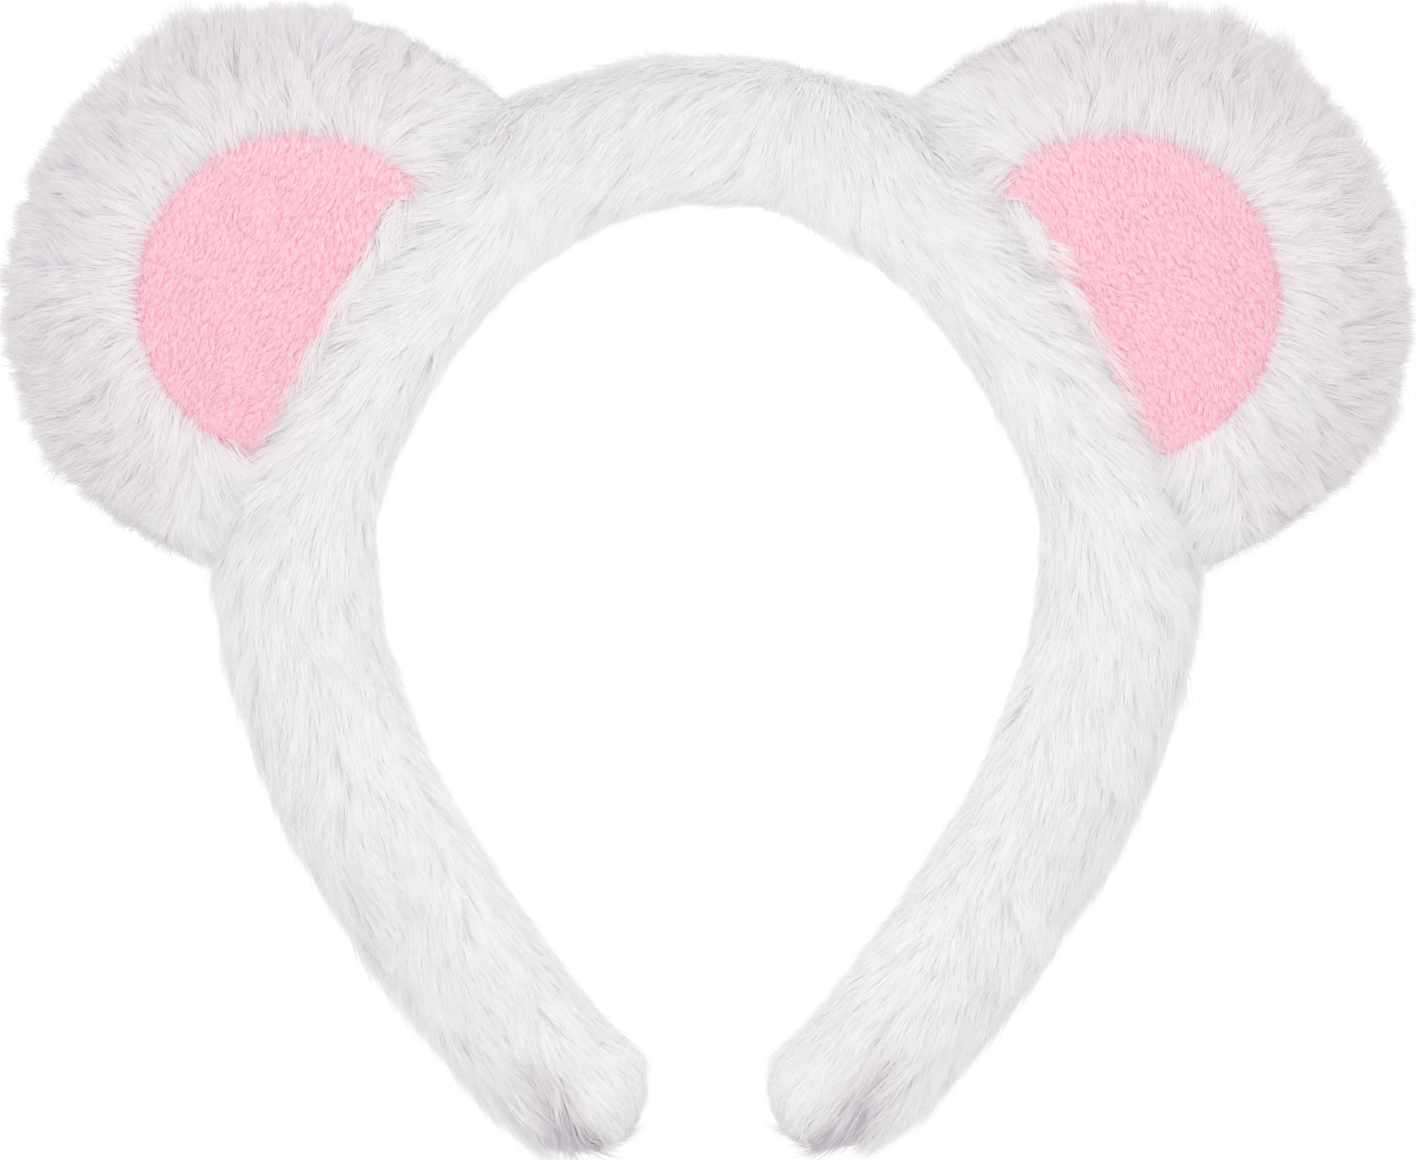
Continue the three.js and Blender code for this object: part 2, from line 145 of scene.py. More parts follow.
COMB_OUTWARDS = 0.2  # how strongly the arms' fur is combed away from the head, and over the ear's base
COMB_OVER_EAR = 0.35

EAR_STRANDS = 7.5
EAR_LOCKS = 2.6 * MM
EAR_HAIR = 7.6 * MM
EAR_HAIR_LESS_AT_RIM = 1.6 * MM
EAR_HAIR_MORE_IN_TUFT = 3.5 * MM
EAR_HAIR_MORE_BELOW = 1.2 * MM
EAR_RISE = 0.72
EAR_LEAN = 0.85
EAR_LEAN_LESS_AT_RIM = 0.3
EAR_UNEVEN = 0.1
EAR_UNEVEN_MORE_AT_RIM = 0.24
EAR_HUG = 0.7
EAR_PULL = 0.32
EAR_SWIRL = 0.65
# painted shade on the ear's fur, and how much more of it there is outwards
EAR_PAINTED_SHADE = 0.06
EAR_PAINTED_SHADE_MORE_OUTWARDS = 0.15
COMB_ALONG_PANEL = 1.5  # how strongly the ear's fur is combed along the panel's covered side
COMB_TO_BAND = 1.4  # and down to the band at the ear's base
RING_EDGE = np.array([26.2, 27.2]) * MM  # the radius where the ring of fur begins, over the panel's edge
STRIP_EDGE = np.array([-0.6, 0.2]) * MM  # where the strip by the band ends, past the panel's side
PANEL_SIDE_RADIUS = np.array([24, 28]) * MM
PANEL_SIDE_HEIGHT = np.array([3, 6]) * MM
BASE_HEIGHT = np.array([0.5, 10]) * MM
FUR_FROM_HEIGHT = 0.5 * MM
RIM_FROM = 40 * MM
# the radii over which the ear's painted shade grows, and the heights over the base where it fades in
PAINTED_SHADE_RADIUS = np.array([30, 46]) * MM
PAINTED_SHADE_HEIGHT = np.array([2, 16]) * MM
TUFT_SPREAD = (0.97, 1.0)
BELOW_SPREAD = (0.92, 0.98)
EAR_TUFT_WAY = np.array([-0.47, 0, 0.883])  # from the ear's middle to where its rim is fluffiest
EAR_LOW_WAY = np.array([-0.82, 0, -0.57])  # and to where its fur is a little longer below

PANEL_STRANDS = 12
PANEL_LOCKS = 1.0 * MM
PANEL_HAIR = 2.0 * MM
PANEL_RISE = 0.9
PANEL_LEAN = 0.7
PANEL_UNEVEN = 0.15
PANEL_PULL = 0.6
PANEL_SWIRL = 0.35

FUR_WIDTH = 0.2 * MM
PLUSH_WIDTH = 0.26 * MM
ROOM_FRONT = (0.985, 0.976, 0.976)
ROOM_BACK = (0.83, 0.825, 0.83)
ROOM_AWAY = (0, 0.8, -0.6)  # from the brightest side of the room, in front and above, to the dimmest

STRANDS_PER_PIECE = 36000
STRAND_ROWS = np.array([0.0, 0.35, 0.7, 1.0])
STRAND_TAPER = (0.9, 1.0, 0.7)  # share of its width at each row but the last, which is a point
SHARPEST_BEND = 0.14 / MM
DROOP = 0.42  # how much a strand's rise eases off towards its end
LIES_EVENLY = 0.25  # the share of its lean that a strand has from its root; the rest grows with its square
LOCK_WANDER = 16 * MM  # the wavelength of the locks' turning
LOCK_TURN_SPREAD = 0.35  # as a share of the swirl
LOCK_STRETCH = (-0.9, 1.1)
LOCK_OPEN = 0.6  # how much of its distance from the lock's middle a strand keeps
GATHER_POWER = 1.4
TURN_SPREAD = 0.16
STRETCH = (0.8, 1.1)
STRAY = 0.05  # how far ends stray, as a share of the length
WIDTHS = (0.75, 1.2)
TWIST_SPREAD = 0.5
TWIST_MOST = 1.1
LOCK_TONE = 0.6  # the share of a strand's tone that it has from its lock
PILE_ROUGHNESS = 0.9
PILE_SPECULAR = 0.1
THROUGH_SHARE = 0.5  # how much of the light on a strand goes through it

CAMERA_AWAY = 1.3
CAMERA_HEIGHT = -62.6 * MM
PICTURE_WIDTH = 236.5 * MM
FRONT_LIGHT = {"place": (0, -0.55, 0.02), "aim": (0, 0, -0.06), "power": 0.32, "size": 0.25}
INNER_LIGHT = {"place": (0, -0.05, -0.065), "aim": (0, 0, -0.065), "power": 0.018, "size": 0.03}
DIFFUSE_BOUNCES = 24
ALL_BOUNCES = 48


# ---------------------------------------------------------------- the arch


def arch(distance):
    """Centreline points, directions along the arch and directions away from the head."""
    distance = np.asarray(distance, float)
    x = np.zeros_like(distance)
    z = np.full_like(distance, CROWN_HEIGHT)
    heading = np.zeros_like(distance)
    rest = distance.copy()
    for i, (length_mm, turn) in enumerate(ARCH_ARCS):
        length = length_mm * MM
        radius = length / math.radians(turn)
        last = i == len(ARCH_ARCS) - 1
        step = rest if last else np.minimum(rest, length)
        turned = heading + step / radius
        x = x - radius * (np.sin(turned) - np.sin(heading))
        z = z - radius * (np.cos(heading) - np.cos(turned))
        heading = turned
        rest = rest - step
    zero = np.zeros_like(x)
    point = np.stack([x, zero, z], -1)
    along = np.stack([-np.cos(heading), zero, -np.sin(heading)], -1)
    outward = np.stack([-np.sin(heading), zero, np.cos(heading)], -1)
    return point, along, outward


CENTRELINE_AT = np.linspace(0, ARCH_LENGTH, 460)
CENTRELINE, _, CENTRELINE_OUT = arch(CENTRELINE_AT)


def arch_place(points):
    """Distance along the arch and height over its centreline, for each point."""
    nearest = np.empty(len(points), int)
    for start in range(0, len(points), 4000):
        part = points[start : start + 4000]
        gap = ((part[:, None, ::2] - CENTRELINE[None, :, ::2]) ** 2).sum(-1)
        nearest[start : start + 4000] = gap.argmin(1)
    height = ((points - CENTRELINE[nearest]) * CENTRELINE_OUT[nearest]).sum(1)
    return CENTRELINE_AT[nearest], height


def band_half_thickness(distance):
    return np.interp(distance, BAND_PROFILE_AT, BAND_PROFILE_HALF)


def band_half_depth(distance):
    return BAND_HALF_DEPTH - TIP_DEPTH_LOSS * (distance / ARCH_LENGTH) ** 3


def squared(value, squareness):
    return np.sign(value) * np.abs(value) ** (2 / squareness)


# ---------------------------------------------------------------- numbers and meshes


def unit(vectors):
    return vectors / np.maximum(np.linalg.norm(vectors, axis=-1, keepdims=True), 1e-12)


def ease(value, low, high):
    """0 below low, 1 above high, and smooth between them."""
    t = np.clip((value - low) / (high - low), 0, 1)
    return t * t * (3 - 2 * t)


def within(value, start, full, fading, end):
    """0 before start, 1 from full to fading, and 0 again after end."""
    return ease(value, start, full) * (1 - ease(value, fading, end))


def waves(points, wavelength, rng, count=7):
    """Smooth seeded noise, mostly from -1 to 1."""
    total = np.zeros(len(points))
    for _ in range(count):
        direction = unit(rng.normal(size=3))
        size = wavelength * rng.uniform(0.7, 1.5)
        total += np.sin(points @ direction * (2 * math.pi / size) + rng.uniform(0, 2 * math.pi))
    return total / count * 1.6


def mirrored(vectors, side):
    return vectors if side == "left" else vectors * np.array([-1.0, 1.0, 1.0])


def turned(faces, side):
    return faces if side == "left" else faces[:, ::-1]


def mesh_object(name, vertices, face_groups, material):
    """Each group of faces is an (n, k) array of vertex numbers."""
    mesh = bpy.data.meshes.new(name)
    mesh.vertices.add(len(vertices))
    mesh.vertices.foreach_set("co", np.ascontiguousarray(vertices, np.float32).ravel())
    loops = np.concatenate([group.ravel() for group in face_groups]).astype(np.int32)
    sizes = np.concatenate([np.full(len(group), group.shape[1]) for group in face_groups])
    mesh.loops.add(len(loops))
    mesh.loops.foreach_set("vertex_index", loops)
    mesh.polygons.add(len(sizes))
    mesh.polygons.foreach_set("loop_start", (np.cumsum(sizes) - sizes).astype(np.int32))
    mesh.polygons.foreach_set("use_smooth", np.ones(len(sizes), bool))
    mesh.update(calc_edges=True)
    mesh.materials.append(material)
    obj = bpy.data.objects.new(name, mesh)
    bpy.context.scene.collection.objects.link(obj)
    return obj


def point_attribute(obj, name, values):
    attribute = obj.data.attributes.new(name, "FLOAT", "POINT")
    attribute.data.foreach_set("value", np.ascontiguousarray(values, np.float32))


# ---------------------------------------------------------------- surfaces that fur grows on


class Skin:
    """A surface of quads, with the normal at each vertex."""

    def __init__(self, vertices, faces):
        self.vertices = vertices
        a, b, c, d = (vertices[faces[:, i]] for i in range(4))
        volume = (np.cross(c - a, d - b) * (a + b + c + d)).sum()
        self.faces = faces if volume > 0 else faces[:, ::-1]
        self.face_normals = np.cross(c - a, d - b) * np.sign(volume)
        self.face_areas = np.linalg.norm(self.face_normals, axis=1) / 2
        total = np.zeros_like(vertices)
        for i in range(4):
            np.add.at(total, self.faces[:, i], self.face_normals)
        self.normals = unit(total)

    def bend_along(self, comb):
        """How sharply the surface bends away under strands that lie along comb, at each vertex."""
        tangent = unit(comb - self.normals * (comb * self.normals).sum(1, keepdims=True))
        total = np.zeros(len(self.vertices))
        share = np.full(len(self.vertices), 1e-9)
        for i in range(4):
            here = self.faces[:, i]
            there = self.faces[:, (i + 1) % 4]
            step = self.vertices[there] - self.vertices[here]
            length = np.maximum(np.linalg.norm(step, axis=1), 1e-7)
            bend = ((self.normals[there] - self.normals[here]) * step).sum(1) / length**2
            weight = ((step * tangent[here]).sum(1) / length) ** 2
            np.add.at(total, here, bend * weight)
            np.add.at(share, here, weight)
        return np.clip(total / share, 0, SHARPEST_BEND)

    def weight(self, keep):
        return self.face_areas * keep[self.faces].mean(1)

    def scatter(self, count, rng, keep):
        """Random places, evenly by area, as corners and their shares. keep is each vertex's fullness."""
        chance = np.cumsum(self.weight(keep))
        face = np.searchsorted(chance, rng.uniform(0, chance[-1], count))
        face = np.minimum(face, len(self.faces) - 1)
        u = rng.uniform(size=(count, 1))
        v = rng.uniform(size=(count, 1))
        shares = np.concatenate([(1 - u) * (1 - v), u * (1 - v), u * v, (1 - u) * v], 1)
        return self.faces[face], shares


def rows_of_quads(rows, around):
    index = np.arange(rows * around).reshape(rows, around)
    following = np.roll(index, -1, 1)
    return np.stack([index[:-1], index[1:], following[1:], following[:-1]], -1).reshape(-1, 4)


def crease(places):
    """How deep the fold on the front of a tip is at each place, from 0 to 1, and how strong the painted
    shade along it is.
    """
    line = CREASE_TO - CREASE_FROM
    share = np.clip((places - CREASE_FROM) @ line / (line @ line), 0, 1)
    gap = places - CREASE_FROM - share[:, None] * line
    gap = np.linalg.norm(gap[:, ::2], axis=1)
    in_front = places[:, 1] < 0
    strength = (CREASE_BEGINS + (1 - CREASE_BEGINS) * ease(share, *CREASE_GROWS)) * in_front
    depth = strength * np.exp(-((gap / CREASE_WIDTH) ** 2))
    return depth, strength * np.exp(-((gap / CREASE_SHADE) ** 2))


def band_surface():
    """One half of the band, from the crown's middle to the tip, which is rounded off."""
    around = 72
    plain_rows = 206
    round_rows = 14
    end = ARCH_LENGTH - TIP_PILE
    plain = np.linspace(0, end - TIP_ROUND, plain_rows, endpoint=False)
    turn = np.linspace(0, math.pi / 2, round_rows)
    distance = np.concatenate([plain, end - TIP_ROUND + TIP_ROUND * np.sin(turn)])
    rounding = np.maximum(np.cos(turn) ** TIP_ROUND_POWER, TIP_LAST_RING)
    scale = np.concatenate([np.ones(plain_rows), rounding])
    angle = np.linspace(0, 2 * math.pi, around, endpoint=False)
    point, along, outward = arch(distance)
    near_tip = ease(distance, ARCH_LENGTH - TIP_CUTBACK_LENGTH, ARCH_LENGTH)
    point = point - TIP_TURNED_IN * near_tip[:, None] * outward
    half_thickness = (band_half_thickness(distance) - BAND_PILE) * scale
    half_depth = (band_half_depth(distance) - BAND_PILE) * scale
    height = half_thickness[:, None] * squared(np.sin(angle), BAND_SQUARENESS)
    vertices = point[:, None, :] + height[..., None] * outward[:, None, :]
    sooner = TIP_CUTBACK * near_tip[:, None] * np.maximum(height, 0)
    vertices -= sooner[..., None] * along[:, None, :]
    vertices[..., 1] += half_depth[:, None] * squared(np.cos(angle), BAND_SQUARENESS)
    vertices = vertices.reshape(-1, 3)
    depth, _ = crease(vertices)
    vertices[:, 1] += CREASE_DEPTH * depth
    skin = Skin(vertices, rows_of_quads(len(distance), around))
    skin.around = around
    skin.distance = np.repeat(distance, around)
    skin.along = np.repeat(along, around, 0)
    skin.outward = np.repeat(outward, around, 0)
    return skin


def ear_thickness(radius):
    inside = np.clip(1 - (radius / EAR_RADIUS) ** EAR_FLATNESS, 0, 1)
    return EAR_HALF_THICKNESS * inside**EAR_RIM_POWER


def base_floor(distance, depth):
    """How far over the centreline the ear's base lies on the band, at a depth front to back."""
    across = np.clip(np.abs(depth) / BAND_HALF_DEPTH, 0, 1)
    round_off = (1 - across**BAND_SQUARENESS) ** (1 / BAND_SQUARENESS)
    return (band_half_thickness(distance) - EAR_BASE_SINK) * round_off


def panel_cover(distance):
    """The width of the strip of fur between the inner panel and the band."""
    return PANEL_COVER * within(distance, *COVERED_SIDE) + CORNER_COVER * within(distance, *COVERED_CORNER)


def ear_shell(radius, depth, around, covered=False):
    """A closed shell turned about the ear's middle, its base pressed to the band."""
    angle = np.linspace(0, 2 * math.pi, around, endpoint=False)
    x = radius[:, None] * np.cos(angle)
    z = radius[:, None] * np.sin(angle)
    y = np.broadcast_to(depth[:, None], x.shape)
    vertices = np.stack([x, y, z], -1).reshape(-1, 3)
    from_middle = vertices @ CHORD
    past = np.maximum(np.abs(from_middle) - DRAWN_IN_FROM, 0) * np.sign(from_middle)
    vertices += EAR_CENTRE - DRAWN_IN_SHARE * past[:, None] * CHORD
    distance, height = arch_place(vertices)
    floor = base_floor(distance, vertices[:, 1]) + panel_cover(distance) * covered
    sunk = height < floor
    _, along, outward = arch(distance)
    vertices[sunk] += outward[sunk] * (floor - height)[sunk, None]
    skin = Skin(vertices, rows_of_quads(len(radius), around))
    skin.over_base = np.where(sunk, 0, height - floor)
    skin.outward = outward
    skin.along = along
    skin.cover = panel_cover(distance)
    skin.radial = vertices - EAR_CENTRE
    skin.radial[:, 1] = 0
    skin.radius = np.linalg.norm(skin.radial, axis=1)
    return skin


def ear_surface():
    """A pillow, open by a pinhole in the middle of each face."""
    pinhole = 0.01
    turn = np.linspace(pinhole, math.pi - pinhole, 89)
    radius = EAR_RADIUS * np.sin(turn)
    front = np.sign(turn - math.pi / 2)
    return ear_shell(radius, front * ear_thickness(radius), around=144)


def panel_surface():
    """A shallow cap that stands a little proud of the ear's fur backing, with a rounded edge."""
    pinhole = 0.002
    share = np.linspace(pinhole, 1, 40)
    radius = PANEL_RADIUS * share
    face = -(ear_thickness(radius) + PANEL_LIFT * np.sqrt(np.clip((1 - share) / PANEL_EDGE, 0, 1)))
    behind = -(ear_thickness(radius) + PANEL_LIFT - PANEL_THICKNESS)
    out_and_back = np.concatenate([radius, radius[::-1]])
    depth = np.concatenate([face, behind[::-1]])
    return ear_shell(out_and_back, depth, around=120, covered=True)


# ---------------------------------------------------------------- fur


def grow(
    skin,
    rng,
    density,
    spacing,
    comb,
    keep,
    length,
    rise,
    lean,
    width,
    pull,
    swirl,
    uneven,
    hug,
    shade=None,
):
    """Strands rooted on a skin.

    density is strands a square millimetre and spacing the distance between locks. comb is the way the
    pile lies. length, rise and lean are a strand's length and how much of it stands up and lies down;
    uneven is how much the locks differ in length, and hug how closely strands follow a surface that
    bends away. They, comb, keep and shade are given at the skin's vertices. pull is how far strands
    gather into locks, and swirl how far the locks wander, in radians."""
    square_mm = skin.weight(keep).sum() / MM**2
    count = int(square_mm * density * (1))
    locks = int(square_mm / (spacing / MM) ** 2)
    fields = {"comb": comb, "length": length, "rise": rise, "lean": lean, "shade": shade}
    fields["uneven"] = uneven
    fields["bend"] = hug * skin.bend_along(comb)

    def roots(number):
        corners, shares = skin.scatter(number, rng, keep)
        places = {"root": skin.vertices, "normal": skin.normals, **fields}
        for name, values in places.items():
            if values is None:
                places[name] = np.ones(number)
            elif values.ndim == 1:
                places[name] = (values[corners] * shares).sum(1)
            else:
                places[name] = (values[corners] * shares[..., None]).sum(1)
        places["normal"] = unit(places["normal"])
        return places

    def lie(places, turn, stretch):
        """A strand's line from its root: it stands up at first, then lies over."""
        normal = places["normal"]
        tangent = unit(places["comb"] - normal * (places["comb"] * normal).sum(1, keepdims=True))
        sideways = np.cross(normal, tangent)
        tangent = tangent * np.cos(turn)[:, None] + sideways * np.sin(turn)[:, None]
        f = STRAND_ROWS[None, :, None]
        length = (places["length"] * stretch)[:, None, None]
        up = places["rise"][:, None, None] * length * f * (1 - DROOP * f)
        forward = places["lean"][:, None, None] * length * (LIES_EVENLY * f + (1 - LIES_EVENLY) * f * f)
        up = up - places["bend"][:, None, None] * forward**2 / 2
        return normal[:, None] * up + tangent[:, None] * forward

    guide = roots(locks)
    guide_turn = swirl * waves(guide["root"], LOCK_WANDER, rng)
    guide_turn += rng.normal(0, LOCK_TURN_SPREAD * swirl, locks)
    guide_stretch = 1 + guide["uneven"] * rng.uniform(*LOCK_STRETCH, locks)
    guide_line = lie(guide, guide_turn, guide_stretch)
    tree = KDTree(locks)
    for i, place in enumerate(guide["root"]):
        tree.insert(place, i)
    tree.balance()

    hair = roots(count)
    lock = np.array([tree.find(place)[1] for place in hair["root"]])
    turn = guide_turn[lock] + rng.normal(0, TURN_SPREAD, count)
    stretch = guide_stretch[lock] * rng.uniform(*STRETCH, count)
    own = hair["root"][:, None] + lie(hair, turn, stretch)
    f = STRAND_ROWS[None, :, None]
    offset = (hair["root"] - guide["root"][lock])[:, None]
    led = guide["root"][lock][:, None] + guide_line[lock] + offset * (1 - f) * LOCK_OPEN
    gathered = pull * f**GATHER_POWER * rng.uniform(0.5, 1.0, (count, 1, 1))
    centre = own * (1 - gathered) + led * gathered
    centre += rng.normal(0, STRAY, (count, 1, 3)) * hair["length"][:, None, None] * f**2

    direction = unit(centre[:, -1] - centre[:, 0])
    across = unit(np.cross(direction, hair["normal"]) + 1e-9)
    twist = np.clip(rng.normal(0, TWIST_SPREAD, (count, 1)), -TWIST_MOST, TWIST_MOST)
    across = across * np.cos(twist) + np.cross(across, direction) * np.sin(twist)
    across *= width / 2 * rng.uniform(*WIDTHS, (count, 1))
    tone = LOCK_TONE * rng.uniform(0, 1, locks)[lock] + (1 - LOCK_TONE) * rng.uniform(0, 1, count)
    return {"centre": centre, "across": across, "lock": tone, "shade": hair["shade"]}


def strand_piece(name, hair, side, material):
    """Tapered ribbons. Each has its own small cell of the UV map, so that a bake needs no unwrapping."""
    number = len(hair["centre"])
    rows = []
    for i, wide in enumerate(STRAND_TAPER):
        rows.append(hair["centre"][:, i] - hair["across"] * wide)
        rows.append(hair["centre"][:, i] + hair["across"] * wide)
    rows.append(hair["centre"][:, -1])
    corners = len(rows)
    vertices = np.stack(rows, 1).reshape(-1, 3)
    first = (np.arange(number) * corners)[:, None]
    quads = np.concatenate([first + [[0, 1, 3, 2]], first + [[2, 3, 5, 4]]])
    groups = [turned(quads, side), turned(first + [[4, 5, 6]], side)]
    obj = mesh_object(name, mirrored(vertices, side), groups, material)
    rise = np.append(np.repeat(STRAND_ROWS[:-1], 2), STRAND_ROWS[-1])
    point_attribute(obj, "rise", np.tile(rise, number))
    point_attribute(obj, "lock", np.repeat(hair["lock"], corners))
    point_attribute(obj, "shade", np.repeat(hair["shade"], corners))
    cells = math.ceil(math.sqrt(number))
    margin = 0.15
    across = np.array([0.25, 0.75] * len(STRAND_TAPER) + [0.5])
    u = ((np.arange(number) % cells)[:, None] + across) / cells
    v = ((np.arange(number) // cells)[:, None] + margin + (1 - 2 * margin) * rise) / cells
    flat = np.stack([u.ravel(), v.ravel()], -1)
    loops = np.concatenate([group.ravel() for group in groups])
    layer = obj.data.uv_layers.new(name="OFBake")
    layer.data.foreach_set("uv", flat[loops].astype(np.float32).ravel())
    return obj


def strand_pieces(name, hair, side, material):
    number = math.ceil(len(hair["centre"]) / STRANDS_PER_PIECE)
    pieces = []
    for i in range(number):
        part = {key: values[i::number] for key, values in hair.items()}
        pieces.append(strand_piece(f"{name}_{i + 1}_{side}", part, side, material))
    return pieces


# ---------------------------------------------------------------- materials


def new_material(name):
    material = bpy.data.materials.new(name)
    material.use_nodes = True
    return material, material.node_tree.nodes, material.node_tree.links


def ramp(nodes, stops):
    node = nodes.new("ShaderNodeValToRGB")
    elements = node.color_ramp.elements
    while len(elements) < len(stops):
        elements.new(0.5)
    for element, (at, colour) in zip(elements, stops):
        element.position = at
        element.color = (*colour, 1)
    return node


def multiplied(nodes, links, a, b):
    node = nodes.new("ShaderNodeMix")
    node.data_type = "RGBA"
    node.blend_type = "MULTIPLY"
    node.inputs["Factor"].default_value = 1.0
    links.new(a, node.inputs["A"])
    links.new(b, node.inputs["B"])
    return node.outputs["Result"]


def strand_material(name, root, tip, dim, painted_shade):
    """Pile that lets some light through, a little deeper in tone at its roots.

    dim is the tone of the deepest lock, and the last tone that of the shade painted into the folds and
    shaded places."""
    material, nodes, links = new_material(name)
    shader = nodes["Principled BSDF"]
    tones = {"rise": [(0.0, root), (0.6, tip)], "lock": [(0.0, dim), (1.0, (1, 1, 1))]}
    tones["shade"] = [(0.0, painted_shade), (1.0, (1, 1, 1))]
    colours = []
    for attribute, stops in tones.items():
        value = nodes.new("ShaderNodeAttribute")
        value.attribute_name = attribute
        tone = ramp(nodes, stops)
        links.new(value.outputs["Fac"], tone.inputs["Fac"])
        colours.append(tone.outputs["Color"])
    colour = multiplied(nodes, links, multiplied(nodes, links, colours[0], colours[1]), colours[2])
    links.new(colour, shader.inputs["Base Color"])
    shader.inputs["Roughness"].default_value = PILE_ROUGHNESS
    shader.inputs["Specular IOR Level"].default_value = PILE_SPECULAR
    through = nodes.new("ShaderNodeBsdfTranslucent")
    links.new(colour, through.inputs["Color"])
    mix = nodes.new("ShaderNodeMixShader")
    mix.inputs["Fac"].default_value = THROUGH_SHARE
    links.new(shader.outputs["BSDF"], mix.inputs[1])
    links.new(through.outputs["BSDF"], mix.inputs[2])
    links.new(mix.outputs["Shader"], nodes["Material Output"].inputs["Surface"])
    return material


def ground_material(name, low, high, scale):
    """Cloth, wadding, plastic or thread: a mottled tone and a fine bump."""
    material, nodes, links = new_material(name)
    shader = nodes["Principled BSDF"]
    place = nodes.new("ShaderNodeTexCoord")
    noise = nodes.new("ShaderNodeTexNoise")
    noise.inputs["Scale"].default_value = scale
    noise.inputs["Detail"].default_value = 4
    tone = ramp(nodes, [(0.3, low), (0.7, high)])
    bump = nodes.new("ShaderNodeBump")
    bump.inputs["Distance"].default_value = 0.3 * MM
    bump.inputs["Strength"].default_value = 0.5
    links.new(place.outputs["Object"], noise.inputs["Vector"])
    links.new(noise.outputs["Fac"], tone.inputs["Fac"])
    links.new(tone.outputs["Color"], shader.inputs["Base Color"])
    links.new(noise.outputs["Fac"], bump.inputs["Height"])
    links.new(bump.outputs["Normal"], shader.inputs["Normal"])
    shader.inputs["Roughness"].default_value = PILE_ROUGHNESS
    shader.inputs["Specular IOR Level"].default_value = PILE_SPECULAR
    return material


FUR = strand_material(
    "white_fur_strands",
    root=(0.984, 0.981, 0.984),
    tip=(0.989, 0.987, 0.988),
    dim=(0.988, 0.987, 0.989),
    # the tone of the shade painted into the fur's folds and shaded places
    painted_shade=(0.83, 0.795, 0.83),
)
PLUSH = strand_material(
    "pink_plush_pile",
    root=(0.996, 0.855, 0.9),
    tip=(0.998, 0.926, 0.95),
    dim=(0.99, 0.945, 0.965),
    painted_shade=(0.985, 0.86, 0.9),
)
FUR_GROUND = ground_material("white_fur_backing", (0.965, 0.96, 0.975), (0.98, 0.98, 0.985), 900)
PLUSH_GROUND = ground_material("pink_plush_backing", (0.98, 0.78, 0.84), (0.99, 0.84, 0.88), 1200)
WADDING = ground_material("wadding_fibre", (0.86, 0.86, 0.85), (0.92, 0.92, 0.9), 500)
CORE = ground_material("core_plastic", (0.78, 0.78, 0.75), (0.8, 0.8, 0.77), 60)
THREAD = ground_material("sewing_thread", (0.82, 0.82, 0.82), (0.9, 0.9, 0.9), 3000)


# ---------------------------------------------------------------- the band


def facing_out(skin):
    """How far each vertex of the band faces away from the head, from -1 to 1."""
    return (skin.normals * skin.outward).sum(1)


def beside_ear(skin):
    """1 on the front and back of the band by an ear's base, where the band's fur lies over the ear."""
    side = ease(np.abs(skin.normals[:, 1]), *FACES_SIDE) * ease(facing_out(skin), *FACES_EAR)
    return within(skin.distance, *BESIDE_EAR) * side


def band_comb(skin, side):
    """Down each arm and a little outwards. The crown's fur parts, and sweeps over to the front and down."""
    forward_round = np.cross(skin.normals, skin.along)
    crown = 1 - ease(skin.distance, *CROWN_FADES)
    facing_front = -skin.normals[:, 1]
    front = ease(np.maximum(facing_front, facing_out(skin)), *FACES_FRONT_OR_OUT)
    flow = np.ones(len(skin.distance))
    if side == "right":
        flow = 2 * ease(skin.distance, PARTING_AT - PARTING_REACH, PARTING_AT + PARTING_REACH) - 1
    around = crown * (SWEEP_LEAST + SWEEP_MORE_IN_FRONT * front) * (1 - beside_ear(skin))
    away = COMB_OUTWARDS * (1 - crown) + COMB_OVER_EAR * beside_ear(skin)
    return skin.along * flow[:, None] + forward_round * around[:, None] + skin.outward * away[:, None]


def under_ear(skin):
    """1 on the strip of the band's top that an ear stands on."""
    return within(skin.distance, *UNDER_EAR) * ease(facing_out(skin), *FACES_BASE)


